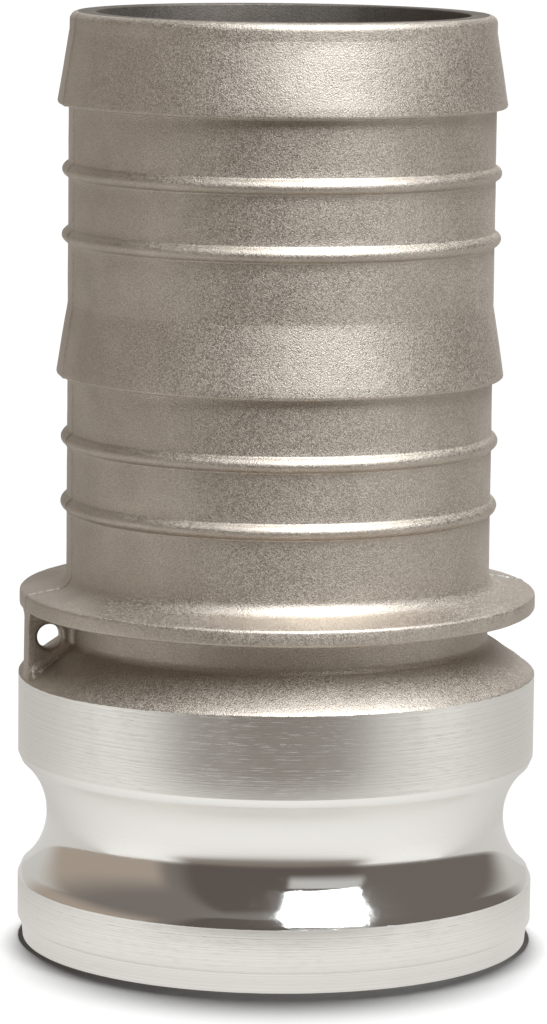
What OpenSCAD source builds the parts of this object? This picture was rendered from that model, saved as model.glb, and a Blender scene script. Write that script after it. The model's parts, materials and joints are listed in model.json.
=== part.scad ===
// Male cam and groove adapter with a hose shank, a one-piece aluminium casting.
// Millimetres. The sealing face stands on z = 0, and the waterway runs along Z.
// The casting was parted on the XZ plane, and the lug lies in that plane on the -X side.

/* [Head] */
// Outside diameter of the machined head
head_d = 91.5; // [88:0.1:96]
// Diameter of the waterway inside the head
head_bore_d = 72; // [67:0.5:74]
// Height at which the waterway starts to narrow towards the shank
head_bore_h = 36; // [28:0.5:40]
// Half angle of the narrowing between head and shank
bore_taper_angle = 12; // [9:1:20]
// Height of the tapered lead at the open end of the head
lead_h = 4.1; // [3:0.1:6]
// How far the lead's edge at the sealing face stays inside the head
lead_inset = 0.95; // [0.9:0.05:1.5]
// Height and width of the bevel between the lead and the lip
lead_bevel = 0.6; // [0.3:0.1:0.8]
// Radius of the waterway's edge at the sealing face
mouth_r = 0.8; // [0.3:0.1:1.5]

/* [Cam groove] */
// Height of the middle of the groove
groove_z = 22.5; // [21:0.1:24]
// Radius of the groove's round bottom
groove_r = 13; // [12:0.1:14]
// Diameter at the bottom of the groove
groove_d = 81.3; // [79:0.1:84]
// Height of the broken edges above and below the groove
edge_break_h = 0.9; // [0.5:0.1:1.2]
// Width of the broken edges, measured along the radius
edge_break_w = 0.6; // [0.3:0.1:0.9]

/* [Shoulder and neck] */
// Height of the corner between the machined land and the cast shoulder
land_top_z = 48.4; // [46:0.1:50]
// Slope of the cast shoulder
shoulder_angle = 34; // [28:1:36]
// Radius of the cast edge where the shoulder meets the land
cast_edge_r = 1.2; // [0.3:0.1:1.6]
// Diameter of the neck under the flange
neck_d = 74.6; // [73:0.1:79]
// Radius of the fillet at the foot of the neck
neck_fillet = 1.6; // [0.5:0.1:2.2]
// Radius of the fillet between the neck and the flange
neck_top_fillet = 0.8; // [0.3:0.1:1.4]

/* [Flange] */
// Outside diameter of the collar flange
flange_d = 91.2; // [86:0.1:96]
// Height of the flange's underside
flange_z = 59.8; // [59:0.1:64]
// Thickness of the flange at its edge
flange_t = 2.9; // [2:0.1:5]
// Slope of the flange's upper face
flange_angle = 10; // [3:1:20]
// Radius of the fillet between the flange and the shank
flange_fillet = 2.6; // [1:0.1:4]
// Radius of the flange's rounded edges
flange_edge_r = 0.6; // [0.2:0.1:0.9]

/* [Hose shank] */
// Overall height of the adapter
overall_h = 164.2; // [160:0.1:180]
// Outside diameter of the shank between its ribs
shank_d = 74.75; // [73.5:0.05:76]
// Diameter of the waterway inside the shank
shank_bore_d = 65.3; // [60:0.1:67]
// Diameter of the shank's plain rim at the hose end
rim_d = 74.6; // [73:0.1:76]
// Height of the plain rim above the end barb
rim_h = 3; // [2.2:0.1:5]
// Radius of the rim's outer edge
rim_outer_r = 1.4; // [0.5:0.1:1.8]
// Radius of the rim's inner edge
rim_inner_r = 0.3; // [0.2:0.1:1.4]

/* [Barbs] */
// Diameter at the crest of both barbs
barb_d = 78.8; // [77.5:0.1:81]
// Height of the end barb's cone
end_barb_h = 13; // [10:0.1:15]
// Height of the middle barb's cone
mid_barb_h = 12.6; // [10:0.1:15]
// Height of the middle barb's crest
mid_barb_z = 100.9; // [98:0.1:105]
// Radius of the barbs' rounded crests
barb_crest_r = 0.5; // [0.2:0.1:0.8]
// Radius in the corner under a barb
barb_foot_r = 0.3; // [0.1:0.1:0.5]
// Radius where a barb's cone runs out
barb_top_r = 1; // [0.5:0.1:5]

/* [Ribs] */
// Height of the lowest rib
low_rib_z = 78.2; // [74:0.1:82]
// Height of the third rib, the lower one of the upper pair
high_rib_z = 125.3; // [121:0.1:129]
// Distance between the two ribs of a pair
rib_pitch = 11.5; // [9:0.1:14]
// How far a rib stands out from the shank
rib_h = 0.95; // [0.9:0.05:1.8]
// Radius of a rib's round crest
rib_r = 1.4; // [1:0.1:1.6]
// Radius of the fillets beside a rib
rib_fillet = 0.6; // [0.2:0.1:1]

/* [Lug] */
// Thickness of the lug
lug_t = 3.6; // [2.4:0.1:6]
// Diameter of the hole in the lug
lug_hole_d = 4.3; // [3:0.1:5.2]
// How far the lug's outer edge stays inside the edges of the flange and the head
lug_inset = 0.2; // [0:0.1:1.5]
// Distance of the hole's centre from the lug's outer edge
lug_hole_margin = 3.9; // [3.2:0.1:4.2]
// Distance of the hole's centre below the flange
lug_hole_drop = 4.2; // [3.4:0.1:4.6]
// Size of the chamfers at the hole's two mouths
lug_hole_break = 0.5; // [0.2:0.1:0.7]

/* [Hidden] */

// Facets of a full turn, and the largest step of an arc in the outline
$fn = 180;
arc_step = 12;
// Flank angle of a rib, from the adapter's axis, and the share of a flank that its fillet may take
rib_flank = 60;
rib_fillet_share = 0.95;
// Radius of the turned edges, and of the blends inside the waterway
turned_edge_r = 0.3;
bore_blend_r = 6;
// Overlap that fuses the lug with the body, and takes cuts through faces
fuse = 0.6;

head_r = head_d / 2;
shank_r = shank_d / 2;
neck_r = neck_d / 2;
barb_r = barb_d / 2;
bore_r = shank_bore_d / 2;

// The groove is a round cut. Half its height at a given radius of the head:
groove_centre_r = groove_d / 2 + groove_r;
function groove_half(r) = sqrt(groove_r ^ 2 - (groove_centre_r - r) ^ 2);

// The broken edges run from the head's face into the round cut, and half as far again past it
edge_reach = 1.5;
edge_start = [head_r, groove_half(head_r) + edge_break_h];
edge_foot = [head_r - edge_break_w, groove_half(head_r - edge_break_w)];
edge_end = edge_start + edge_reach * (edge_foot - edge_start);

shoulder_h = (head_r - neck_r) * tan(shoulder_angle);
flange_rise = (flange_d / 2 - shank_r) * tan(flange_angle);
end_barb_z = overall_h - rim_h - end_barb_h;
bore_taper_h = (head_bore_d / 2 - bore_r) / tan(bore_taper_angle);

// The lug's outer edge leans from the head to the flange. Its ends, and its radius at a given height:
lug_foot = [head_r - lug_inset, land_top_z - fuse];
lug_top = [flange_d / 2 - lug_inset, flange_z + flange_edge_r];
function lug_edge_r(z) = lug_foot.x + (lug_top.x - lug_foot.x) * (z - lug_foot.y) / (lug_top.y - lug_foot.y);
lug_hole_z = flange_z - lug_hole_drop;

// Outline helpers. A corner is [radius, height, rounding].
function unit(v) = v / norm(v);
function turned(p, a) = [p.x * cos(a) - p.y * sin(a), p.x * sin(a) + p.y * cos(a)];
function point(corner) = [corner[0], corner[1]];

function rounded_corner(before, corner, after) =
    let (
        from = unit(point(corner) - point(before)),
        to = unit(point(after) - point(corner)),
        bend = atan2(cross(from, to), from * to),
        r = corner[2],
        start = point(corner) - from * r * tan(abs(bend) / 2),
        centre = start + sign(bend) * r * [-from.y, from.x],
        steps = ceil(abs(bend) / arc_step)
    )
    r == 0 ? [point(corner)]
    : [for (i = [0:steps]) centre + turned(start - centre, bend * i / steps)];

function rounded_outline(corners) =
    let (n = len(corners))
    [for (i = [0:n - 1]) each rounded_corner(corners[(i + n - 1) % n], corners[i], corners[(i + 1) % n])];

// A rib is a triangle with a round top, whose base fillets stay within its flanks
function rib(z) =
    let (
        apex = rib_h + rib_r * (1 / cos(rib_flank) - 1),
        half = apex / tan(rib_flank),
        room = (apex / sin(rib_flank) - rib_r * tan(rib_flank)) / tan(rib_flank / 2),
        base_r = min(rib_fillet, room * rib_fillet_share)
    )
    [[shank_r, z - half, base_r], [shank_r + apex, z, rib_r], [shank_r, z + half, base_r]];

// A barb steps out square below and runs back to the given radius as a cone
function barb(z, h, top_r) =
    [[shank_r, z, barb_foot_r], [barb_r, z, barb_crest_r], [top_r, z + h, barb_top_r]];

head_corners = [
    [head_bore_d / 2, 0, mouth_r],
    [head_r - lead_inset, 0, turned_edge_r],
    [head_r - lead_bevel, lead_h - lead_bevel, 0],
    [head_r, lead_h, 0],
    [edge_start.x, groove_z - edge_start.y, 0],
    [edge_end.x, groove_z - edge_end.y, 0],
    [edge_end.x, groove_z + edge_end.y, 0],
    [edge_start.x, groove_z + edge_start.y, 0],
];

shoulder_corners = [
    [head_r, land_top_z, cast_edge_r],
    [neck_r, land_top_z + shoulder_h, neck_fillet],
    [neck_r, flange_z, neck_top_fillet],
    [flange_d / 2, flange_z, flange_edge_r],
    [flange_d / 2, flange_z + flange_t, flange_edge_r],
    [shank_r, flange_z + flange_t + flange_rise, flange_fillet],
];

shank_corners = [
    each rib(low_rib_z),
    each rib(low_rib_z + rib_pitch),
    each barb(mid_barb_z, mid_barb_h, shank_r),
    each rib(high_rib_z),
    each rib(high_rib_z + rib_pitch),
    each barb(end_barb_z, end_barb_h, rim_d / 2),
    [rim_d / 2, overall_h, rim_outer_r],
    [bore_r, overall_h, rim_inner_r],
    [bore_r, head_bore_h + bore_taper_h, bore_blend_r],
    [head_bore_d / 2, head_bore_h, bore_blend_r],
];

// The turned section: the filleted outline with the groove's round bottom cut out of it
module wall_section() {
    difference() {
        polygon(rounded_outline([each head_corners, each shoulder_corners, each shank_corners]));
        translate([groove_centre_r, groove_z]) circle(r = groove_r);
    }
}

// The lug is a web in the parting plane that fills the corner between shoulder and flange
module lug_web() {
    rotate([90, 0, 0])
        linear_extrude(lug_t, center = true)
            polygon([
                [-neck_r + fuse, land_top_z],
                [-lug_foot.x, lug_foot.y],
                [-lug_top.x, lug_top.y],
                [-neck_r + fuse, lug_top.y],
            ]);
}

module lug_hole() {
    translate([lug_hole_margin - lug_edge_r(lug_hole_z), 0, lug_hole_z]) rotate([90, 0, 0]) {
        cylinder(h = lug_t + 2 * fuse, d = lug_hole_d, center = true);
        for (side = [0, 1]) mirror([0, 0, side])
            translate([0, 0, lug_t / 2 - lug_hole_break])
                cylinder(h = 2 * lug_hole_break, d1 = lug_hole_d, d2 = lug_hole_d + 4 * lug_hole_break);
    }
}

module adapter() {
    color([0.66, 0.63, 0.59])
        difference() {
            union() {
                rotate_extrude() wall_section();
                lug_web();
            }
            lug_hole();
        }
}

adapter();
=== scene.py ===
"""Dresses the packed cam and groove adapter: one cast piece, shot-blasted above and turned bright below."""

import json
import math

import bmesh
import bpy
from mathutils import Matrix, Vector, noise


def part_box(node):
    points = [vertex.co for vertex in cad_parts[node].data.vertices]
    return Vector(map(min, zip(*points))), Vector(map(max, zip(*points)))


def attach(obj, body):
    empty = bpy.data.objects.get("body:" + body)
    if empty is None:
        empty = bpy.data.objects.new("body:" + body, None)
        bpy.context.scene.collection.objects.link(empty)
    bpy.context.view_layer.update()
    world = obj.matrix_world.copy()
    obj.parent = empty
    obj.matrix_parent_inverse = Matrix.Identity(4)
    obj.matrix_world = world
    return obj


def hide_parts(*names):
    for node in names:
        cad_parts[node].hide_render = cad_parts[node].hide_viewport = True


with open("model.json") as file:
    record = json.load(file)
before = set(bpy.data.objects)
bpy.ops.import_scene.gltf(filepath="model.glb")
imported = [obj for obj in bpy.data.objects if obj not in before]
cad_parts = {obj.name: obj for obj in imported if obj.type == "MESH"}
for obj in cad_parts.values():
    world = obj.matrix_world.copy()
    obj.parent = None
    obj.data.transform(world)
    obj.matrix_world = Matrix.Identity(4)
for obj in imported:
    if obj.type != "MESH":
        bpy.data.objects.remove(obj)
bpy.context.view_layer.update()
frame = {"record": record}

bl_info = {
    "name": "Cam and groove adapter",
    "version": (1, 0, 0),
    "blender": (4, 5, 0),
    "location": "3D View > Sidebar > Adapter",
    "description": "Builds a cast hose adapter with a turned cam groove, its finishes and a small studio",
    "category": "Add Mesh",
}

MM = 0.001
IMAGE_SIZE = (547, 1024)
SENSOR = 36.0
CAMERA_REACH = 20.0

MOUNTS = {mount["name"]: mount for mount in frame["record"]["mounts"]}
HEAD_R = MOUNTS["cam_head"]["dims"]["r_mm"] * MM
BORE_R = MOUNTS["shank_bore"]["dims"]["r_mm"] * MM
LUG_HOLE_R = MOUNTS["lug_hole"]["dims"]["r_mm"] * MM
LUG_HOLE = Vector(MOUNTS["lug_hole"]["pos_m"])
OVERALL_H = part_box("adapter")[1].z


def size(name, millimetres, description):
    """A length in the sidebar, given in millimetres."""
    return bpy.props.FloatProperty(
        name=name,
        description=description,
        default=millimetres * MM,
        min=0.0,
        precision=5,
        unit="LENGTH",
        subtype="DISTANCE",
    )


def angle(name, degrees, description):
    """An angle in the sidebar, given in degrees."""
    return bpy.props.FloatProperty(
        name=name,
        description=description,
        default=math.radians(degrees),
        unit="ROTATION",
        subtype="ANGLE",
    )


def share(name, value, description):
    """A plain number in the sidebar."""
    return bpy.props.FloatProperty(name=name, description=description, default=value, min=0.0)


def colour(name, value, description):
    """A colour in the sidebar."""
    return bpy.props.FloatVectorProperty(
        name=name,
        description=description,
        default=value,
        size=3,
        min=0.0,
        max=1.0,
        subtype="COLOR",
    )


class HeadSizes(bpy.types.PropertyGroup):
    """Sizes of the turned head, up to the cast shoulder"""

    bore_r: size("Bore radius", 36.0, "Radius of the waterway inside the head")
    bore_h: size("Bore height", 36.0, "Height at which the waterway starts to narrow")
    bore_taper: angle("Bore taper", 12.0, "Half angle of the waterway's narrowing")
    bore_blend: size("Bore blend", 6.0, "Radius of the blends at the ends of the narrowing")
    mouth_round: size("Mouth rounding", 0.8, "Radius of the waterway's edge at the sealing face")
    lead_h: size("Lead height", 4.1, "Height of the tapered lead at the open end")
    lead_inset: size("Lead inset", 0.95, "How far the lead's lower edge stays inside the head")
    lead_bevel: size("Lead bevel", 0.6, "Height and width of the bevel between lead and lip")
    turned_round: size("Turned rounding", 0.3, "Radius of the turned edges")
    groove_z: size("Groove height", 22.5, "Height of the middle of the cam groove")
    groove_r: size("Groove radius", 13.0, "Radius of the groove's round bottom")
    groove_bottom_r: size("Groove bottom", 40.65, "The head's radius at the bottom of the groove")
    edge_break_h: size("Edge break height", 0.9, "Height of the broken edges beside the groove")
    edge_break_w: size("Edge break width", 0.6, "Width of the broken edges beside the groove")
    land_top: size("Land top", 48.2, "Height of the land's upper edge, where the cast skin begins")
    land_dip: size("Land dip", 0.7, "How much lower the land ends beside the lug")
    dip_azimuth: angle("Dip azimuth", -170.5, "Direction in which the land ends lowest")


class ShankSizes(bpy.types.PropertyGroup):
    """Sizes of the cast shoulder, flange, shank, barbs and ribs"""

    shoulder_z: size("Shoulder height", 48.4, "Height of the corner that shoulder and land would make")
    shoulder_angle: angle("Shoulder slope", 34.0, "Slope of the cast shoulder")
    cast_edge_w: size("Cast edge width", 0.25, "Width of the worn edge above the land")
    cast_edge_round: size("Cast edge rounding", 1.5, "Radius of the worn edge above the land")
    neck_r: size("Neck radius", 37.3, "Radius of the neck under the flange")
    neck_fillet: size("Neck fillet", 1.6, "Radius of the fillet at the foot of the neck")
    neck_top_fillet: size("Upper neck fillet", 0.8, "Radius between the neck and the flange")
    flange_r: size("Flange radius", 45.6, "Outside radius of the collar flange")
    flange_z: size("Flange height", 59.8, "Height of the flange's underside")
    flange_t: size("Flange thickness", 2.9, "Thickness of the flange at its edge")
    flange_angle: angle("Flange slope", 10.0, "Slope of the flange's upper face")
    flange_fillet: size("Flange fillet", 2.6, "Radius between the flange and the shank")
    flange_round: size("Flange rounding", 0.6, "Radius of the flange's edges")
    shank_r: size("Shank radius", 37.375, "Radius of the shank between its ribs")
    rim_r: size("Rim radius", 37.3, "Radius of the plain rim at the hose end")
    rim_h: size("Rim height", 3.0, "Height of the plain rim above the end barb")
    rim_round: size("Rim rounding", 1.4, "Radius of the rim's outer edge")
    rim_inner_round: size("Inner rim rounding", 0.3, "Radius of the rim's inner edge")
    barb_r: size("Barb radius", 39.4, "Radius at the crest of both barbs")
    end_barb_h: size("End barb height", 13.0, "Height of the end barb's cone")
    mid_barb_h: size("Middle barb height", 12.6, "Height of the middle barb's cone")
    mid_barb_z: size("Middle barb", 100.9, "Height of the middle barb's crest")
    barb_crest: size("Barb crest", 0.5, "Radius of the barbs' crests")
    barb_foot: size("Barb foot", 0.3, "Radius in the corner under a barb")
    barb_top: size("Barb run-out", 1.0, "Radius where a barb's cone runs out")
    low_rib_z: size("Lowest rib", 78.2, "Height of the lowest rib")
    high_rib_z: size("Third rib", 125.3, "Height of the third rib, the lower of the upper pair")
    rib_pitch: size("Rib pitch", 11.5, "Distance between the two ribs of a pair")
    rib_h: size("Rib height", 0.95, "How far a rib stands out")
    rib_round: size("Rib crest", 1.4, "Radius of a rib's crest")
    rib_fillet: size("Rib fillet", 0.6, "Radius of the fillets beside a rib")
    ridge_h: size("Parting ridge height", 0.16, "How far the parting ridge stands out")
    ridge_w: size("Parting ridge width", 0.5, "Width of the parting ridge at its foot")
    # On the flange the ridge stands out further, and its crest there carries a painted highlight
    flash_h: size("Flash height", 0.28, "How far the scraped ridge stands out on the flange")
    ragged: size("Ragged edge", 0.12, "How far the skin's lower edge strays from a level line")
    waviness: size("Waviness", 0.035, "How far the cast skin wanders from its true form")


class LugSizes(bpy.types.PropertyGroup):
    """Sizes of the drilled lug between shoulder and flange"""

    thickness: size("Thickness", 3.6, "Thickness of the lug")
    inset: size("Inset", 0.2, "How far the lug's edge stays inside flange and head")
    fillet: size("Fillet", 1.2, "Radius of the fillets round the lug")
    edge_round: size("Edge rounding", 0.25, "Radius of the lug's outer edges")
    hole_round: size("Hole rounding", 0.7, "Radius of the hole's two mouths")


class Finishes(bpy.types.PropertyGroup):
    """Colours and roughness of the finishes"""

    skin: colour("Cast skin", (0.462, 0.406, 0.348), "Colour of the shot-blasted skin")
    skin_pale: colour("Pale cast skin", (0.516, 0.458, 0.396), "Colour of its palest patches")
    waterway: colour("Waterway", (0.150, 0.130, 0.112), "Colour of the cast wall inside")
    waterway_pale: colour("Pale waterway", (0.185, 0.162, 0.142), "Colour of its palest patches")
    skin_roughness: share("Skin roughness", 0.54, "Roughness of the shot-blasted skin")
    bore_roughness: share("Waterway roughness", 0.70, "Roughness of the cast wall inside")
    land_roughness: share("Land roughness", 0.25, "Least roughness of the turned land, lip and lead")
    groove_roughness: share("Groove roughness", 0.05, "Least roughness of the groove's lower half")
    bright: colour("Turned metal", (0.860, 0.845, 0.815), "Colour of the turned metal")
    bright_dull: colour("Dull turned metal", (0.775, 0.752, 0.715), "Colour of its duller lines")


class Studio(bpy.types.PropertyGroup):
    """The camera and the lights"""

    azimuth: angle("Azimuth", -15.0, "Direction that the part is seen from; 0 looks along +Y")
    distance: size("Distance", 876.8, "Camera's distance from the adapter's axis")
    height: size("Height", 206.57, "Camera's height above the floor")
    aside: size("Sideways offset", 0.832, "How far left of the axis the camera stands")
    pitch: angle("Pitch", 8.4543, "How far the camera looks down")
    roll: angle("Roll", 0.652, "How far the camera is turned about its view")
    focal_px: share("Focal length", 5014.9, "Focal length in pixels of the image")
    softbox: share("Softbox", 130.0, "Power of the softbox above the part, in watts")
    floor_lamp: share("Floor lamp", 13.9, "Strength of the lamp that lights the floor alone")


GROUPS = {
    "adapter_head": HeadSizes,
    "adapter_shank": ShankSizes,
    "adapter_lug": LugSizes,
    "adapter_finishes": Finishes,
    "adapter_studio": Studio,
}


class Socket:
    """An output socket of a shader node, on which Python's operators add Math nodes"""

    def __init__(self, tree, output):
        self.tree = tree
        self.output = output

    def maths(self, operation, *values, clamp=False):
        return self.tree.node(
            "ShaderNodeMath", {"operation": operation, "use_clamp": clamp}, dict(enumerate(values))
        )

    def __add__(self, other):
        return self.maths("ADD", self, other)

    def __radd__(self, other):
        return self.maths("ADD", other, self)

    def __sub__(self, other):
        return self.maths("SUBTRACT", self, other)

    def __rsub__(self, other):
        return self.maths("SUBTRACT", other, self)

    def __mul__(self, other):
        return self.maths("MULTIPLY", self, other)

    def __rmul__(self, other):
        return self.maths("MULTIPLY", other, self)

    def __truediv__(self, other):
        return self.maths("DIVIDE", self, other)

    def __rtruediv__(self, other):
        return self.maths("DIVIDE", other, self)

    def __neg__(self):
        return self.maths("MULTIPLY", self, -1.0)

    def __gt__(self, other):
        return self.maths("GREATER_THAN", self, other)

    def __lt__(self, other):
        return self.maths("LESS_THAN", self, other)

    def clamped(self):
        return self.maths("ADD", self, 0.0, clamp=True)

    def absolute(self):
        return self.maths("ABSOLUTE", self)

    def ramp(self, low, high):
        """Runs smoothly from 0 at low to 1 at high, which may be the lesser of the two."""
        t = ((self - low) / (high - low)).clamped()
        return t * t * (3.0 - 2.0 * t)


class Tree:
    """The node tree of a material or of the world"""

    def __init__(self, owner):
        owner.use_nodes = True
        self.nodes = owner.node_tree.nodes
        self.links = owner.node_tree.links
        self.nodes.clear()

    def node(self, kind, settings=None, inputs=None, output=0):
        """Adds a node, sets it up, fills its sockets with values or links, and returns one output."""
        added = self.nodes.new(kind)
        for name, value in (settings or {}).items():
            setattr(added, name, value)
        for name, value in (inputs or {}).items():
            if isinstance(value, Socket):
                self.links.new(value.output, added.inputs[name])
            else:
                added.inputs[name].default_value = value
        return Socket(self, added.outputs[output])

    def mix_colour(self, factor, first, second, blend="MIX"):
        """Mixes two colours, or two sockets that hold colours."""
        pair = [value if isinstance(value, Socket) else (*value, 1.0) for value in (first, second)]
        setup = {"data_type": "RGBA", "blend_type": blend}
        return self.node("ShaderNodeMix", setup, {0: factor, 6: pair[0], 7: pair[1]}, output=2)

    def object_mm(self, stretch=(1.0, 1.0, 1.0)):
        """Object coordinates in millimetres, stretched if asked."""
        place = self.node("ShaderNodeTexCoord", output="Object")
        scale = tuple(factor / MM for factor in stretch)
        inputs = {"Vector": place, "Scale": scale}
        return self.node("ShaderNodeMapping", {"vector_type": "POINT"}, inputs)

    def axis(self, vector, name):
        return self.node("ShaderNodeSeparateXYZ", None, {0: vector}, output=name)

    def noise(self, vector, scale, detail=2.0, roughness=0.5, distortion=0.0):
        inputs = {
            "Vector": vector,
            "Scale": scale,
            "Detail": detail,
            "Roughness": roughness,
            "Distortion": distortion,
        }
        return self.node("ShaderNodeTexNoise", {"noise_dimensions": "3D"}, inputs)

    def rings(self, height, scale, detail=2.0, roughness=0.5):
        """Noise that changes with height alone, as the tool's path does on a turned face."""
        inputs = {"W": height, "Scale": scale, "Detail": detail, "Roughness": roughness}
        return self.node("ShaderNodeTexNoise", {"noise_dimensions": "1D"}, inputs)

    def cells(self, vector, scale):
        """One random value for each of the small cells that fill the space."""
        inputs = {"Vector": vector, "Scale": scale}
        cell = self.node("ShaderNodeTexVoronoi", {"voronoi_dimensions": "3D"}, inputs, output="Color")
        return self.axis(cell, "X")

    def bump(self, height, distance):
        """A bump whose height of 1 stands for the given distance in metres."""
        inputs = {"Height": height, "Distance": distance, "Strength": 1.0}
        return self.node("ShaderNodeBump", None, inputs)

    def surface(self, shader, kind="ShaderNodeOutputMaterial"):
        """Sends a shader to the material's output, or to the world's."""
        out = self.nodes.new(kind)
        self.links.new(shader.output, out.inputs["Surface"])

    def metal(self, inputs):
        """Makes the material a metal with these inputs."""
        self.surface(self.node("ShaderNodeBsdfPrincipled", None, {"Metallic": 1.0, **inputs}))


# The skin's facets, dimples, specks, swell and clouds, as so many in a millimetre
FACETS, DIMPLES, SPECKS, SWELLS, CLOUDS = 4.2, 3.8, 4.8, 0.5, 0.07

# The grain's depth, what facets and swell add to it, and how far the facets differ in roughness
GRAIN_DEPTH = 0.068 * MM
FACET_RELIEF, SWELL_RELIEF = 0.12, 0.16
FACET_ROUGHNESS = 0.22

# Shades that the skin's dark and pale specks multiply its colour by, and how sharply they part
SPECK_DARK = (0.79, 0.785, 0.785)
SPECK_PALE = (1.15, 1.155, 1.155)
SPECK_CONTRAST, FACET_CONTRAST = 2.6, 0.6


def cast_skin(name, dull, pale, roughness):
    """Shot-blasted cast aluminium: a fine dimpled grain whose facets sparkle, and faint clouding."""
    material = bpy.data.materials.new(name)
    tree = Tree(material)
    place = tree.object_mm()
    facet = tree.cells(place, FACETS)
    dimples = tree.noise(place, DIMPLES, roughness=0.6)
    height = dimples + facet * FACET_RELIEF + tree.noise(place, SWELLS) * SWELL_RELIEF
    clouds = tree.noise(place, CLOUDS, detail=3.0, roughness=0.6).ramp(0.38, 0.66)
    base = tree.mix_colour(clouds, tuple(dull), tuple(pale))
    speck = (tree.noise(place, SPECKS, detail=1.0) - 0.5) * SPECK_CONTRAST
    speck = (speck + (facet - 0.5) * FACET_CONTRAST + 0.5).clamped()
    speckled = tree.mix_colour(speck, SPECK_DARK, SPECK_PALE)
    tree.metal({
        "Base Color": tree.mix_colour(1.0, base, speckled, "MULTIPLY"),
        "Roughness": roughness + (facet - 0.5) * FACET_ROUGHNESS,
        "Normal": tree.bump(height, GRAIN_DEPTH),
    })
    return material


# The turned faces' lines and dashes, and the groove's lines and hairs, as so many in a millimetre
LAND_LINES, LAND_DASHES, GROOVE_LINES, GROOVE_HAIRS = 4.4, 7.5, 3.0, 3.4

# What stains, lines and dashes add to the land's roughness, and how lines and dashes stand out
STAIN_ROUGHNESS, LINE_ROUGHNESS, DASH_ROUGHNESS = 0.05, 0.16, 0.20
LINE_RELIEF, DASH_RELIEF = 1.6, 0.9
LAND_DEPTH = 0.006 * MM

# What satin, lines and hairs add to the groove's roughness, and how lines and hairs stand out
SATIN_ROUGHNESS, FINE_ROUGHNESS, HAIR_ROUGHNESS = 0.27, 0.04, 0.06
FINE_RELIEF, HAIR_RELIEF = 0.5, 0.15
GROOVE_DEPTH = 0.004 * MM

# A hair's half width, as a step of its noise, and how far from the groove's middle the satin fades
HAIR_WIDTH = 0.022
SATIN_FADE_MM = 3.0


def hairs(tree):
    """Short hair scratches: where a stretched noise crosses its middle, broken up by a coarser one."""
    stretched = tree.noise(tree.object_mm((0.5, 0.5, 1.8)), GROOVE_HAIRS, detail=1.0, distortion=1.2)
    thin = 1.0 - ((stretched - 0.5).absolute() / HAIR_WIDTH).clamped()
    return thin * tree.noise(tree.object_mm(), 0.45).ramp(0.50, 0.62)


def dashes(tree, height):
    """Level scratches: the crests of a fine ring pattern, broken up round the waterway."""
    crests = tree.rings(height, LAND_DASHES, detail=1.0).ramp(0.54, 0.66)
    return crests * tree.noise(tree.object_mm((0.36, 0.36, 2.6)), 1.1).ramp(0.50, 0.64)


def turned_metal(finishes):
    """The land, lip and lead: turned aluminium whose fine lines smear reflections along the axis."""
    material = bpy.data.materials.new("turned_faces")
    tree = Tree(material)
    height = tree.axis(tree.object_mm(), "Z")
    patches = tree.noise(tree.object_mm((0.5, 0.5, 1.4)), 1.1).ramp(0.36, 0.62)
    lines = 0.5 + (tree.rings(height, LAND_LINES, roughness=0.7) - 0.5) * (0.45 + patches * 1.1)
    marks = dashes(tree, height)
    stains = tree.noise(tree.object_mm((1.0, 1.0, 0.4)), 0.12, detail=3.0).ramp(0.45, 0.75)
    bright, dull = tuple(finishes.bright), tuple(finishes.bright_dull)
    worn = stains * STAIN_ROUGHNESS + lines * LINE_ROUGHNESS + marks * DASH_ROUGHNESS
    tree.metal({
        "Base Color": tree.mix_colour(lines.ramp(0.35, 0.65), bright, dull),
        "Roughness": finishes.land_roughness + worn,
        "Anisotropic": 0.7,
        "Normal": tree.bump(lines * LINE_RELIEF + marks * DASH_RELIEF, LAND_DEPTH),
    })
    return material


def groove_metal(finishes, middle_mm):
    """The cam groove: form-turned aluminium, satin above its middle and nearly a mirror below."""
    material = bpy.data.materials.new("turned_groove")
    tree = Tree(material)
    height = tree.axis(tree.object_mm(), "Z")
    lines = tree.rings(height, GROOVE_LINES, roughness=0.6)
    marks = hairs(tree)
    satin = height.ramp(middle_mm - SATIN_FADE_MM, middle_mm + SATIN_FADE_MM)
    worn = satin * SATIN_ROUGHNESS + lines * FINE_ROUGHNESS + marks * HAIR_ROUGHNESS
    tree.metal({
        "Base Color": (*finishes.bright, 1.0),
        "Roughness": finishes.groove_roughness + worn,
        "Anisotropic": 0.3,
        "Normal": tree.bump(lines * FINE_RELIEF + marks * HAIR_RELIEF, GROOVE_DEPTH),
    })
    return material


def ridge_highlight_metal(finishes):
    """The crest of the parting ridge on the flange: shinier than the skin, with a painted highlight that
    pales its colour in streaks toward the turned metal's.
    """
    material = bpy.data.materials.new("ridge_painted_highlight")
    tree = Tree(material)
    streaks = tree.noise(tree.object_mm(), 1.6)
    skin, bright = tuple(finishes.skin_pale), tuple(finishes.bright)
    tree.metal({
        # Painted highlight: streaks mix the pale skin colour toward the bright turned metal's colour
        "Base Color": tree.mix_colour(streaks.ramp(0.35, 0.6), skin, bright),
        "Roughness": 0.22 + streaks * 0.2,
    })
    return material


# The casting's material slots, in order
SKIN, TURNED, GROOVE, WATERWAY, RIDGE_HIGHLIGHT = range(5)

# Columns of the turned mesh, the longest steps of its rows, and the steps of its rounded corners
COLUMNS = 288
SKIN_STEP = 1.6 * MM
TURNED_STEP = 6.0 * MM
BORE_STEP = 7.0 * MM
ARC_STEP = 0.35 * MM
ARC_TURN = math.radians(23.0)
LEAST_BEND = math.radians(0.5)
GROOVE_ROWS = 38
SHARP_ANGLE = math.radians(38.0)

# The slight roundings above the lead and beside the groove, and the gap of a row that keeps the land flat
LEAD_EDGE_R = 0.05 * MM
GROOVE_EDGE_R = 0.12 * MM
LAND_ROW_GAP = 0.5 * MM

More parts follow.
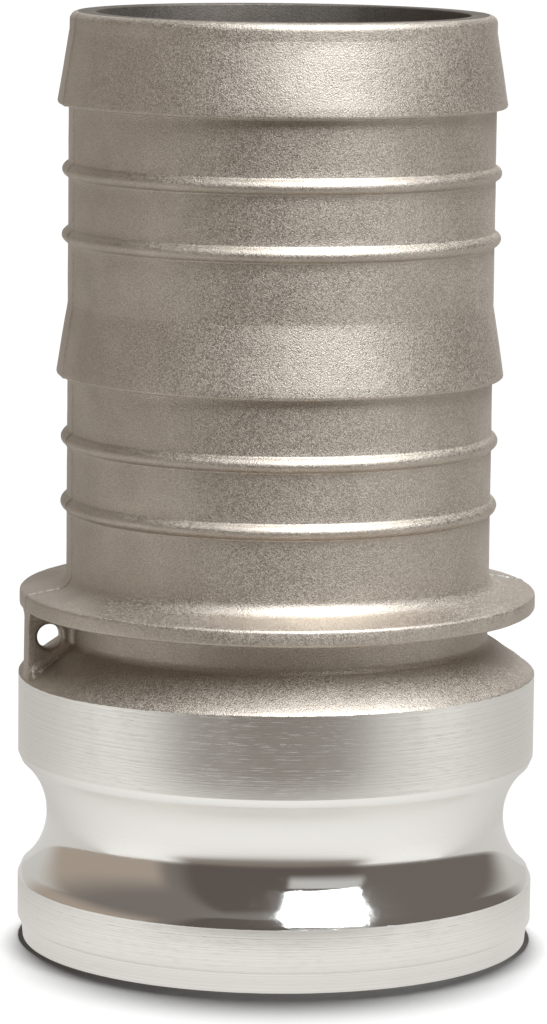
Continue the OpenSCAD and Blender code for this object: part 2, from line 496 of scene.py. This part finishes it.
# A rib's flanks lean this far from the axis, and its fillets take this share of their full radius
RIB_FLANK = math.radians(60.0)
RIB_FILLET_SHARE = 0.7

# Everything outside this radius and above the land is cast skin, and the land's dip reaches this far
SKIN_MIN_R = 36.5 * MM
DIP_REACH = 4.5 * MM

# How far above the land the skin reaches its full waviness, and the spans of what wanders on it
SKIN_FADE = 1.0 * MM
WANDER_SPAN = 5.0 * MM
RIDGE_SPAN = 2.2 * MM
RAGGED_SPAN = 0.8 * MM

# The wander's fall-off, the ratio of its octaves and their number
WANDER_OCTAVES = (0.8, 2.0, 3)

# The open part of the flange's top starts at this share of the fillet's radius from the shank
FILLET_SHARE = 0.9

# Places closer than this count as one
NEAR = 0.01 * MM


def section_corners(head, shank):
    """The section's corners as (radius, height, rounding), in two runs, below and above the groove."""
    groove_centre = head.groove_bottom_r + head.groove_r

    def groove_half(radius):
        return math.sqrt(head.groove_r ** 2 - (groove_centre - radius) ** 2)

    foot_r = HEAD_R - head.edge_break_w
    edge_h = groove_half(HEAD_R) + head.edge_break_h
    taper_h = (head.bore_r - BORE_R) / math.tan(head.bore_taper)
    slope = math.tan(shank.shoulder_angle)
    edge_r = HEAD_R - shank.cast_edge_w
    neck_z = shank.shoulder_z + (HEAD_R - shank.neck_r) * slope
    flange_top = shank.flange_z + shank.flange_t
    flange_foot = flange_top + (shank.flange_r - shank.shank_r) * math.tan(shank.flange_angle)
    end_barb_z = OVERALL_H - shank.rim_h - shank.end_barb_h

    def rib(z):
        """A triangle with a round top and filleted feet."""
        apex = shank.rib_h + shank.rib_round * (1.0 / math.cos(RIB_FLANK) - 1.0)
        half = apex / math.tan(RIB_FLANK)
        fillet = RIB_FILLET_SHARE * shank.rib_fillet
        return [
            (shank.shank_r, z - half, fillet),
            (shank.shank_r + apex, z, shank.rib_round),
            (shank.shank_r, z + half, fillet),
        ]

    def barb(z, height, top_r):
        """A square step out, and a cone back to the given radius."""
        return [
            (shank.shank_r, z, shank.barb_foot),
            (shank.barb_r, z, shank.barb_crest),
            (top_r, z + height, shank.barb_top),
        ]

    below = [
        (BORE_R, head.bore_h + taper_h, head.bore_blend),
        (head.bore_r, head.bore_h, head.bore_blend),
        (head.bore_r, 0.0, head.mouth_round),
        (HEAD_R - head.lead_inset, 0.0, head.turned_round),
        (HEAD_R - head.lead_bevel, head.lead_h - head.lead_bevel, 0.0),
        (HEAD_R, head.lead_h, LEAD_EDGE_R),
        (HEAD_R, head.groove_z - edge_h, GROOVE_EDGE_R),
        (foot_r, head.groove_z - groove_half(foot_r), 0.0),
    ]
    above = [
        (foot_r, head.groove_z + groove_half(foot_r), 0.0),
        (HEAD_R, head.groove_z + edge_h, GROOVE_EDGE_R),
        (HEAD_R, head.land_top - LAND_ROW_GAP, 0.0),
        (HEAD_R, head.land_top, 0.0),
        (edge_r, shank.shoulder_z + shank.cast_edge_w * slope, shank.cast_edge_round),
        (shank.neck_r, neck_z, shank.neck_fillet),
        (shank.neck_r, shank.flange_z, shank.neck_top_fillet),
        (shank.flange_r, shank.flange_z, shank.flange_round),
        (shank.flange_r, flange_top, shank.flange_round),
        (shank.shank_r, flange_foot, shank.flange_fillet),
        *rib(shank.low_rib_z),
        *rib(shank.low_rib_z + shank.rib_pitch),
        *barb(shank.mid_barb_z, shank.mid_barb_h, shank.shank_r),
        *rib(shank.high_rib_z),
        *rib(shank.high_rib_z + shank.rib_pitch),
        *barb(end_barb_z, shank.end_barb_h, shank.rim_r),
        (shank.rim_r, OVERALL_H, shank.rim_round),
        (BORE_R, OVERALL_H, shank.rim_inner_round),
    ]
    return below, above


def round_corner(bm, corner, rounding):
    """Rounds a corner of a chain of edges with an arc of that radius."""
    one, other = [edge.other_vert(corner).co - corner.co for edge in corner.link_edges]
    bend = math.pi - one.angle(other)
    if rounding <= 0.0 or bend < LEAST_BEND:
        return
    bmesh.ops.bevel(
        bm,
        geom=[corner],
        offset=rounding * math.tan(bend / 2.0),
        offset_type="OFFSET",
        segments=max(math.ceil(bend / ARC_TURN), math.ceil(rounding * bend / ARC_STEP)),
        profile=0.5,
        affect="VERTICES",
        material=-1,
    )


def draw_section(bm, head, shank):
    """Draws the casting's closed section in the XZ plane, with its corners rounded."""
    below, above = section_corners(head, shank)
    corners = [(bm.verts.new((r, 0.0, z)), rounding) for r, z, rounding in below + above]
    verts = [vert for vert, _ in corners]
    start, end = verts[len(below) - 1], verts[len(below)]
    for one, other in zip(verts, verts[1:] + verts[:1]):
        if one is not start:
            bm.edges.new((one, other))
    centre = Vector((head.groove_bottom_r + head.groove_r, 0.0, head.groove_z))
    arc = bmesh.ops.spin(
        bm,
        geom=[start],
        cent=centre,
        axis=(0.0, 1.0, 0.0),
        angle=(start.co - centre).angle(end.co - centre),
        steps=GROOVE_ROWS,
        use_duplicate=False,
        use_merge=False,
    )
    last = arc["geom_last"][0]
    bmesh.ops.weld_verts(bm, targetmap={last: end})
    for vert, rounding in corners:
        round_corner(bm, vert, rounding)


def refine(bm, step_at):
    """Cuts long edges, so that none is longer than the step for its middle."""
    for edge in list(bm.edges):
        middle = (edge.verts[0].co + edge.verts[1].co) / 2.0
        cuts = math.ceil(edge.calc_length() / step_at(middle)) - 1
        if cuts > 0:
            bmesh.ops.subdivide_edges(bm, edges=[edge], cuts=cuts)


def dip_at(azimuth, head):
    """How much lower the land ends in a direction."""
    return head.land_dip * max(math.cos(azimuth - head.dip_azimuth), 0.0) ** 4


def on_flange_top(place, shank):
    """Whether a place lies on the open part of the flange's upper face."""
    radius = math.hypot(place.x, place.y)
    inner_r = shank.shank_r + FILLET_SHARE * shank.flange_fillet
    outer_r = shank.flange_r - shank.flange_round
    return inner_r < radius < outer_r and place.z > shank.flange_z + shank.flange_t


def off_parting_plane(place):
    """The angle from a place to the parting plane, round the waterway."""
    return (math.atan2(place.y, place.x) + math.pi / 2.0) % math.pi - math.pi / 2.0


def sculpt_skin(bm, head, shank):
    """Lowers the land's end beside the lug, raises the parting ridge and lets the cast skin wander."""
    bm.normal_update()
    column = math.tau / COLUMNS
    moves = []
    for vert in bm.verts:
        place = vert.co
        if math.hypot(place.x, place.y) < SKIN_MIN_R:
            continue
        azimuth = math.atan2(place.y, place.x)
        above = place.z - head.land_top
        near_land = 1.0 - min(abs(above) / DIP_REACH, 1.0)
        move = Vector((0.0, 0.0, -dip_at(azimuth, head) * near_land))
        if above > NEAR:
            fade = min(above / SKIN_FADE, 1.0)
            off_plane = off_parting_plane(place)
            columns_off = abs(round(off_plane / column))
            if columns_off == 0:
                uneven = 0.8 + 0.5 * noise.noise(place / RIDGE_SPAN)
                ridge_h = shank.flash_h if on_flange_top(place, shank) else shank.ridge_h
                move += vert.normal * ridge_h * uneven * fade
            elif columns_off == 1:
                foot = shank.ridge_w / 2.0 / math.hypot(place.x, place.y)
                turn = math.copysign(foot, off_plane) - off_plane
                move += Matrix.Rotation(turn, 3, "Z") @ place - place
            else:
                wander = noise.fractal(place / WANDER_SPAN, *WANDER_OCTAVES)
                move += vert.normal * shank.waviness * wander * fade
        elif above > -NEAR:
            move.z += shank.ragged * noise.noise(place / RAGGED_SPAN)
        moves.append((vert, move))
    for vert, move in moves:
        vert.co += move


def paint_faces(bm, head, shank):
    """Gives each face the finish of its place: waterway, ridge crest with a painted highlight, skin, groove
    or turned face.
    """
    bm.normal_update()
    for face in bm.faces:
        face.smooth = True
        middle = face.calc_center_median()
        radius = math.hypot(middle.x, middle.y)
        if radius < head.bore_r + 5.0 * NEAR and middle.z > head.mouth_round:
            face.material_index = WATERWAY
        # The parting ridge's crest on the flange top gets the material with the painted highlight
        elif abs(off_parting_plane(middle)) < math.tau / COLUMNS and on_flange_top(middle, shank):
            face.material_index = RIDGE_HIGHLIGHT
        elif middle.z > head.land_top:
            face.material_index = SKIN
        elif radius < HEAD_R - NEAR and abs(middle.z - head.groove_z) < head.groove_r:
            face.material_index = GROOVE
        else:
            face.material_index = TURNED


def turn_casting(head, shank):
    """Spins the section about the waterway into a closed mesh."""
    bm = bmesh.new()
    draw_section(bm, head, shank)

    def step_at(place):
        if place.x < SKIN_MIN_R:
            return BORE_STEP
        return SKIN_STEP if place.z > head.land_top else TURNED_STEP

    refine(bm, step_at)
    bmesh.ops.spin(
        bm,
        geom=bm.verts[:] + bm.edges[:],
        cent=(0.0, 0.0, 0.0),
        axis=(0.0, 0.0, 1.0),
        angle=math.tau,
        steps=COLUMNS,
        use_merge=True,
        use_duplicate=False,
    )
    bmesh.ops.recalc_face_normals(bm, faces=bm.faces)
    paint_faces(bm, head, shank)
    sculpt_skin(bm, head, shank)
    return bm


# The lug's mesh: spokes and rings round its hole, of which the first few round the hole's mouths
LUG_SPOKES = 96
LUG_RINGS = 26
LUG_MOUTH_RINGS = 6

# How deep the lug reaches into the neck and below the land's top, to be welded to the casting
LUG_NECK_REACH = 1.0 * MM
LUG_LAND_REACH = 1.2 * MM

# A direction whose share along an axis is less than this runs across that axis
LEVEL = 1e-6


def rounding_dip(gap, radius):
    """How far a rounded edge falls back at a distance from its end."""
    near = min(max(radius - gap, 0.0), radius)
    return radius - math.sqrt(radius ** 2 - near ** 2)


def lug_half_thickness(place, shank, lug, hole, edge_gap):
    """Half the lug's thickness at a place in its plane: filleted to the body, rounded at its edges."""
    radius = -place.x
    slope = shank.shoulder_angle
    over_corner = place.z - shank.shoulder_z
    from_shoulder = (radius - HEAD_R) * math.sin(slope) + over_corner * math.cos(slope)
    body_gap = min(radius - shank.neck_r, shank.flange_z - place.z, from_shoulder)
    hole_gap = (place - hole).length - LUG_HOLE_R
    return (
        lug.thickness / 2.0
        + rounding_dip(body_gap, lug.fillet)
        - rounding_dip(hole_gap, lug.hole_round)
        - rounding_dip(edge_gap, lug.edge_round)
    )


def spread_rings(bm, hole, lug, to_outline):
    """Spreads a flat sheet from the hole's edge to the lug's outline, in rings closest at the hole."""
    ring = bm.edges[:]
    mouth_r = LUG_HOLE_R + lug.hole_round
    for index in range(1, LUG_RINGS + 1):
        grown = bmesh.ops.extrude_edge_only(bm, edges=ring)["geom"]
        ring = [item for item in grown if isinstance(item, bmesh.types.BMEdge) and item.is_boundary]
        ring = [edge for edge in ring if all(vert in grown for vert in edge.verts)]
        for vert in {vert for edge in ring for vert in edge.verts}:
            direction = (vert.co - hole).normalized()
            if index <= LUG_MOUTH_RINGS:
                turn = math.pi / 2.0 * index / LUG_MOUTH_RINGS
                reach = LUG_HOLE_R + lug.hole_round * (1.0 - math.cos(turn))
            else:
                along = (index - LUG_MOUTH_RINGS) / (LUG_RINGS - LUG_MOUTH_RINGS)
                reach = mouth_r + (to_outline(direction) - mouth_r) * along
            vert.co = hole + direction * reach


def thicken_sheet(bm, hole, half_thickness):
    """Doubles a flat sheet, draws the two apart, and closes the hole's wall and the outer edges."""
    front = bm.verts[:]
    copied = bmesh.ops.duplicate(bm, geom=bm.verts[:] + bm.edges[:] + bm.faces[:])["geom"]
    back = [item for item in copied if isinstance(item, bmesh.types.BMVert)]
    for verts, side in ((front, -1.0), (back, 1.0)):
        for vert in verts:
            vert.co.y = side * half_thickness(vert.co)
    boundary = [edge for edge in bm.edges if edge.is_boundary]
    inner = [edge for edge in boundary if (edge.verts[0].co.xz - hole.xz).length < LUG_HOLE_R + NEAR]
    outer = [edge for edge in boundary if edge not in inner]
    bmesh.ops.bridge_loops(bm, edges=inner)
    bmesh.ops.bridge_loops(bm, edges=outer)
    bmesh.ops.recalc_face_normals(bm, faces=bm.faces)


def build_lug(head, shank, lug):
    """A web in the parting plane, spread in rings from its hole and filleted into the body."""
    hole = Vector((LUG_HOLE.x, 0.0, LUG_HOLE.z))
    inner_x = -(shank.neck_r - LUG_NECK_REACH)
    low_z = head.land_top - LUG_LAND_REACH
    high_z = shank.flange_z + shank.flange_round
    low_x = -(HEAD_R - lug.inset)
    high_x = -(shank.flange_r - lug.inset)

    def half_thickness(place):
        """Half the lug's thickness at a place, with the distance to its outer edge worked out."""
        lean = Vector((high_x - low_x, 0.0, high_z - low_z)).normalized()
        edge_gap = (place - Vector((low_x, 0.0, low_z))).cross(lean).length
        return lug_half_thickness(place, shank, lug, hole, edge_gap)

    def to_outline(direction):
        """The distance from the hole's centre to the lug's outline in a direction."""
        reach = []
        if direction.x > LEVEL:
            reach.append((inner_x - hole.x) / direction.x)
        if direction.z > LEVEL:
            reach.append((high_z - hole.z) / direction.z)
        if direction.z < -LEVEL:
            reach.append((low_z - hole.z) / direction.z)
        lean = (high_x - low_x) / (high_z - low_z)
        edge_x = low_x + lean * (hole.z - low_z)
        closing = direction.x - lean * direction.z
        if closing < -LEVEL:
            reach.append((edge_x - hole.x) / closing)
        return min(reach)

    bm = bmesh.new()
    upright = Matrix.Translation(hole) @ Matrix.Rotation(math.pi / 2.0, 4, "X")
    bmesh.ops.create_circle(bm, segments=LUG_SPOKES, radius=LUG_HOLE_R, matrix=upright)
    spread_rings(bm, hole, lug, to_outline)
    thicken_sheet(bm, hole, half_thickness)
    for face in bm.faces:
        face.smooth = True
        face.material_index = SKIN
    return bm


def new_object(name, bm, materials):
    """Turns a bmesh into an object of the scene."""
    mesh = bpy.data.meshes.new(name)
    bm.to_mesh(mesh)
    bm.free()
    for material in materials:
        mesh.materials.append(material)
    made = bpy.data.objects.new(name, mesh)
    bpy.context.scene.collection.objects.link(made)
    return made


def united(body, tool):
    """Unites two objects, keeps the first and removes the second."""
    modifier = body.modifiers.new("union", "BOOLEAN")
    modifier.operation = "UNION"
    modifier.solver = "MANIFOLD"
    modifier.object = tool
    depsgraph = bpy.context.evaluated_depsgraph_get()
    mesh = bpy.data.meshes.new_from_object(body.evaluated_get(depsgraph))
    body.modifiers.clear()
    body.data = mesh
    bpy.data.objects.remove(tool)


def part_shading(mesh):
    """Keeps the shading of the turned faces apart from that of the skin where they meet."""
    bm = bmesh.new()
    bm.from_mesh(mesh)
    for edge in bm.edges:
        if {face.material_index for face in edge.link_faces} == {SKIN, TURNED}:
            edge.smooth = False
    bm.to_mesh(mesh)
    bm.free()


def property_groups(context):
    """The scene's five property groups, in the order of GROUPS."""
    return [getattr(context.scene, name) for name in GROUPS]


class ADAPTER_OT_casting(bpy.types.Operator):
    """Turn the casting about its waterway, weld the drilled lug to it and give it its finishes"""

    bl_idname = "adapter.casting"
    bl_label = "Casting"

    def execute(self, context):
        head, shank, lug, finishes, _ = property_groups(context)
        materials = [
            cast_skin("shot_blasted_skin", finishes.skin, finishes.skin_pale, finishes.skin_roughness),
            turned_metal(finishes),
            groove_metal(finishes, head.groove_z / MM),
            cast_skin("waterway_skin", finishes.waterway, finishes.waterway_pale, finishes.bore_roughness),
            ridge_highlight_metal(finishes),
        ]
        casting = new_object("casting", turn_casting(head, shank), materials)
        lug_web = new_object("lug_web", build_lug(head, shank, lug), materials)
        united(casting, lug_web)
        casting.data.name = "casting"
        casting.data.set_sharp_from_angle(angle=SHARP_ANGLE)
        part_shading(casting.data)
        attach(casting, "root")
        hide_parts("adapter")
        return {"FINISHED"}


def camera_axes(studio):
    """The camera's place and axes, in the part's frame."""
    turn = Matrix.Rotation(studio.azimuth, 3, "Z")
    place = turn @ Vector((-studio.aside, -studio.distance, studio.height))
    ahead = Vector((0.0, math.cos(studio.pitch), -math.sin(studio.pitch)))
    above = Vector((0.0, math.sin(studio.pitch), math.cos(studio.pitch)))
    level = Vector((1.0, 0.0, 0.0))
    cos, sin = math.cos(studio.roll), math.sin(studio.roll)
    right = cos * level + sin * above
    up = cos * above - sin * level
    return place, turn @ right, turn @ up, turn @ -ahead


def build_camera(studio):
    """The scene's camera, whose sensor's width lies along the image's longer side."""
    data = bpy.data.cameras.new("camera")
    data.sensor_width = SENSOR
    data.lens = studio.focal_px / max(IMAGE_SIZE) * SENSOR
    data.clip_end = CAMERA_REACH
    camera = bpy.data.objects.new("camera", data)
    place, right, up, back = camera_axes(studio)
    rotation = Matrix((right, up, back)).transposed()
    camera.matrix_world = Matrix.Translation(place) @ rotation.to_4x4()
    bpy.context.scene.collection.objects.link(camera)
    bpy.context.scene.camera = camera


# The softbox leans over the part from the front right: the way to it, and the way down along it.
# Its ends and sides are measured in metres from the foot of that way, which starts at the target.
SOFTBOX_FACING = Vector((0.290, -0.722, 0.629))
SOFTBOX_DOWN = Vector((0.072, -0.639, -0.766))
SOFTBOX_SPAN = (-2.20, 0.10)
SOFTBOX_SIDES = (-0.40, 0.67)
SOFTBOX_DISTANCE = 2.0
SOFTBOX_TARGET = Vector((0.0, -0.043, 0.015))
SOFTBOX_COLOUR = (0.90, 0.955, 1.0)

# The way to the lamp for the floor, and the angle that it spans
FLOOR_LAMP_FROM = Vector((0.0, 0.128, 1.0))
FLOOR_LAMP_SPAN = math.radians(7.0)


def build_softbox(studio, receivers):
    """A long softbox that leans over the part from the front right."""
    facing = SOFTBOX_FACING.normalized()
    down = (SOFTBOX_DOWN - SOFTBOX_DOWN.dot(facing) * facing).normalized()
    across = facing.cross(down)
    data = bpy.data.lights.new("softbox", "AREA")
    data.shape = "RECTANGLE"
    data.size = SOFTBOX_SIDES[1] - SOFTBOX_SIDES[0]
    data.size_y = SOFTBOX_SPAN[1] - SOFTBOX_SPAN[0]
    data.energy = studio.softbox
    data.color = SOFTBOX_COLOUR
    lamp = bpy.data.objects.new("softbox", data)
    bpy.context.scene.collection.objects.link(lamp)
    turn = Matrix.Rotation(studio.azimuth, 3, "Z")
    offset = down * sum(SOFTBOX_SPAN) / 2.0 + across * sum(SOFTBOX_SIDES) / 2.0
    middle = turn @ (SOFTBOX_TARGET + facing * SOFTBOX_DISTANCE + offset)
    rotation = turn @ Matrix((-across, down, facing)).transposed()
    lamp.matrix_world = Matrix.Translation(middle) @ rotation.to_4x4()
    lamp.light_linking.receiver_collection = receivers


def build_floor_lamp(studio, receivers):
    """A lamp high behind the part, for the floor alone, which casts the short shadow in front."""
    data = bpy.data.lights.new("floor_lamp", "SUN")
    data.energy = studio.floor_lamp
    data.angle = FLOOR_LAMP_SPAN
    lamp = bpy.data.objects.new("floor_lamp", data)
    bpy.context.scene.collection.objects.link(lamp)
    place = Matrix.Rotation(studio.azimuth, 3, "Z") @ FLOOR_LAMP_FROM
    rotation = (-place).to_track_quat("-Z", "Y").to_matrix()
    lamp.matrix_world = Matrix.Translation(place) @ rotation.to_4x4()
    lamp.light_linking.receiver_collection = receivers


# What the metal mirrors of the floor, a glowing sheet that paints the floor's reflection: white near the
# part, greyer behind it and dim far in front
FLOOR_NEAR = (1.0, 0.995, 0.975)
FLOOR_BEHIND = (0.64, 0.63, 0.61)
FLOOR_DIM = (0.190, 0.160, 0.135)
FLOOR_MIRRORED = 0.93
FLOOR_MATT = (0.22, 0.22, 0.22)

# Where the floor changes, in metres in front of the axis
NEAR_FLOOR_START = (-0.06, 0.07)
DIM_FLOOR_START = (0.098, 0.175)

# The floor's half width, and how far its middle lies behind the part
FLOOR_HALF = 4.0
FLOOR_BACK = 3.2

# What the metal mirrors of the room: dim in front and at the sides, warmer low on the left, light below
# the horizon and behind, a pale hem below the softbox, and a dark ceiling
ROOM_DIM = (0.120, 0.101, 0.091)
WALL_LEFT = (0.20, 0.18, 0.165)
WALL_RIGHT = (0.165, 0.145, 0.13)
WALL_WARM = (0.41, 0.35, 0.295)
WALL_FOOT = (0.62, 0.61, 0.59)
WALL_BEHIND = (0.60, 0.59, 0.57)
SOFTBOX_HEM = (0.55, 0.55, 0.54)
CEILING = (0.21, 0.195, 0.18)

# Angles round the part, from the front, at which the room changes
DIM_SIDES = (math.radians(-46.0), math.radians(42.0))
DIM_BLUR = math.radians(7.0)
WARM_START = (math.radians(-52.0), math.radians(-64.0))
BEHIND_START = (math.radians(125.0), math.radians(150.0))
HEM_LEFT = (0.10, 0.16)
HEM_RIGHT = (0.82, 0.76)

# Heights at which it changes, as the sine of the angle above the horizon
HORIZON = (-0.04, 0.05)
WARM_FADE = (0.72, 0.28)
HEM_START = (0.16, 0.40)
HEM_TOP = 0.52
CEILING_START = (0.90, 0.97)


def turned_axes(tree, coordinate, studio):
    """The axes of a texture coordinate, turned so that -Y points at the camera."""
    place = tree.node("ShaderNodeTexCoord", output=coordinate)
    inputs = {"Vector": place, "Rotation": (0.0, 0.0, -studio.azimuth)}
    turned = tree.node("ShaderNodeMapping", {"vector_type": "POINT"}, inputs)
    return [tree.axis(turned, name) for name in "XYZ"]


def dim_window(from_front):
    """Where the room is dim: in front, further to the left than to the right."""
    left, right = DIM_SIDES
    past_left = from_front.ramp(left - DIM_BLUR, left + DIM_BLUR)
    return past_left * from_front.ramp(right + DIM_BLUR, right - DIM_BLUR)


def floor_surface(studio):
    """A pale floor that keeps the shadow; metal sees a glowing sheet in its place, a painted reflection
    without the shadow, bright beside the part and dim far in front.
    """
    material = bpy.data.materials.new("floor")
    tree = Tree(material)
    matt = tree.node("ShaderNodeBsdfDiffuse", None, {"Color": (*FLOOR_MATT, 1.0)})
    across, deep, _ = turned_axes(tree, "Object", studio)
    in_front = -deep
    from_front = across.maths("ARCTAN2", across, in_front)
    sheet = tree.mix_colour(in_front.ramp(*NEAR_FLOOR_START), FLOOR_BEHIND, FLOOR_NEAR)
    dim = in_front.ramp(*DIM_FLOOR_START) * dim_window(from_front)
    sheet = tree.mix_colour(dim, sheet, FLOOR_DIM)
    # Painted reflection: for glossy and transmission rays the sheet glows, mostly in place of the lit floor
    painted_reflection = tree.node("ShaderNodeEmission", None, {"Color": sheet, "Strength": 1.0})
    glossy = tree.node("ShaderNodeLightPath", output="Is Glossy Ray")
    through = tree.node("ShaderNodeLightPath", output="Is Transmission Ray")
    mirrored = {0: (glossy + through).clamped() * FLOOR_MIRRORED, 1: matt, 2: painted_reflection}
    tree.surface(tree.node("ShaderNodeMixShader", None, mirrored))
    return material


def build_floor(studio):
    """A sheet that reaches a short way in front of the part and far behind it."""
    bm = bmesh.new()
    bmesh.ops.create_grid(bm, x_segments=1, y_segments=1, size=FLOOR_HALF)
    bmesh.ops.translate(bm, vec=(0.0, FLOOR_BACK, -NEAR), verts=bm.verts)
    turn = Matrix.Rotation(studio.azimuth, 3, "Z")
    bmesh.ops.rotate(bm, cent=(0.0, 0.0, 0.0), matrix=turn, verts=bm.verts)
    floor = new_object("floor", bm, [floor_surface(studio)])
    return floor


def build_room(studio):
    """The room that the metal mirrors; the camera itself sees plain white."""
    world = bpy.data.worlds.new("studio")
    bpy.context.scene.world = world
    tree = Tree(world)
    across, deep, high = turned_axes(tree, "Generated", studio)
    from_front = across.maths("ARCTAN2", across, -deep)
    above = high.ramp(*HORIZON)
    sides = tree.mix_colour(above, WALL_FOOT, tree.mix_colour(from_front > 0.0, WALL_LEFT, WALL_RIGHT))
    warm = high.ramp(*WARM_FADE) * (high > 0.0) * from_front.ramp(*WARM_START)
    sides = tree.mix_colour(warm, sides, WALL_WARM)
    front = tree.mix_colour(above, FLOOR_DIM, ROOM_DIM)
    room = tree.mix_colour(dim_window(from_front), sides, front)
    room = tree.mix_colour(from_front.absolute().ramp(*BEHIND_START), room, WALL_BEHIND)
    across_hem = from_front.ramp(*HEM_LEFT) * from_front.ramp(*HEM_RIGHT)
    hem = high.ramp(*HEM_START) * (high < HEM_TOP) * across_hem
    room = tree.mix_colour(hem, room, SOFTBOX_HEM)
    room = tree.mix_colour(high.ramp(*CEILING_START), room, CEILING)
    camera_ray = tree.node("ShaderNodeLightPath", output="Is Camera Ray")
    shown = tree.mix_colour(camera_ray, room, (1.0, 1.0, 1.0))
    backdrop = tree.node("ShaderNodeBackground", None, {"Color": shown, "Strength": 1.0})
    tree.surface(backdrop, "ShaderNodeOutputWorld")


def receiver_group(name, members):
    """A collection of the objects that a lamp lights."""
    group = bpy.data.collections.new(name)
    for member in members:
        group.objects.link(member)
    return group


class ADAPTER_OT_stage(bpy.types.Operator):
    """Set up the camera, the floor, the room and the lamps"""

    bl_idname = "adapter.stage"
    bl_label = "Stage"

    def execute(self, context):
        studio = property_groups(context)[-1]
        context.scene.view_settings.view_transform = "Standard"
        floor = build_floor(studio)
        build_room(studio)
        build_camera(studio)
        build_softbox(studio, receiver_group("lit_by_softbox", [bpy.data.objects["casting"]]))
        build_floor_lamp(studio, receiver_group("lit_by_floor_lamp", [floor]))
        return {"FINISHED"}


class ADAPTER_PT_sidebar(bpy.types.Panel):
    """Lists the operators and the sizes"""

    bl_label = "Adapter"
    bl_idname = "ADAPTER_PT_sidebar"
    bl_space_type = "VIEW_3D"
    bl_region_type = "UI"
    bl_category = "Adapter"

    def draw(self, context):
        for operator in OPERATORS:
            self.layout.operator(operator.bl_idname)
        for name, group in GROUPS.items():
            box = self.layout.box()
            box.label(text=group.__doc__)
            for prop in group.__annotations__:
                box.prop(getattr(context.scene, name), prop)


OPERATORS = (ADAPTER_OT_casting, ADAPTER_OT_stage)
CLASSES = (*GROUPS.values(), *OPERATORS, ADAPTER_PT_sidebar)


def register():
    for cls in CLASSES:
        bpy.utils.register_class(cls)
    for name, group in GROUPS.items():
        setattr(bpy.types.Scene, name, bpy.props.PointerProperty(type=group))


def unregister():
    for name in GROUPS:
        delattr(bpy.types.Scene, name)
    for cls in reversed(CLASSES):
        bpy.utils.unregister_class(cls)


def main():
    register()
    bpy.ops.adapter.casting()
    bpy.ops.adapter.stage()


if __name__ == "__main__":
    main()
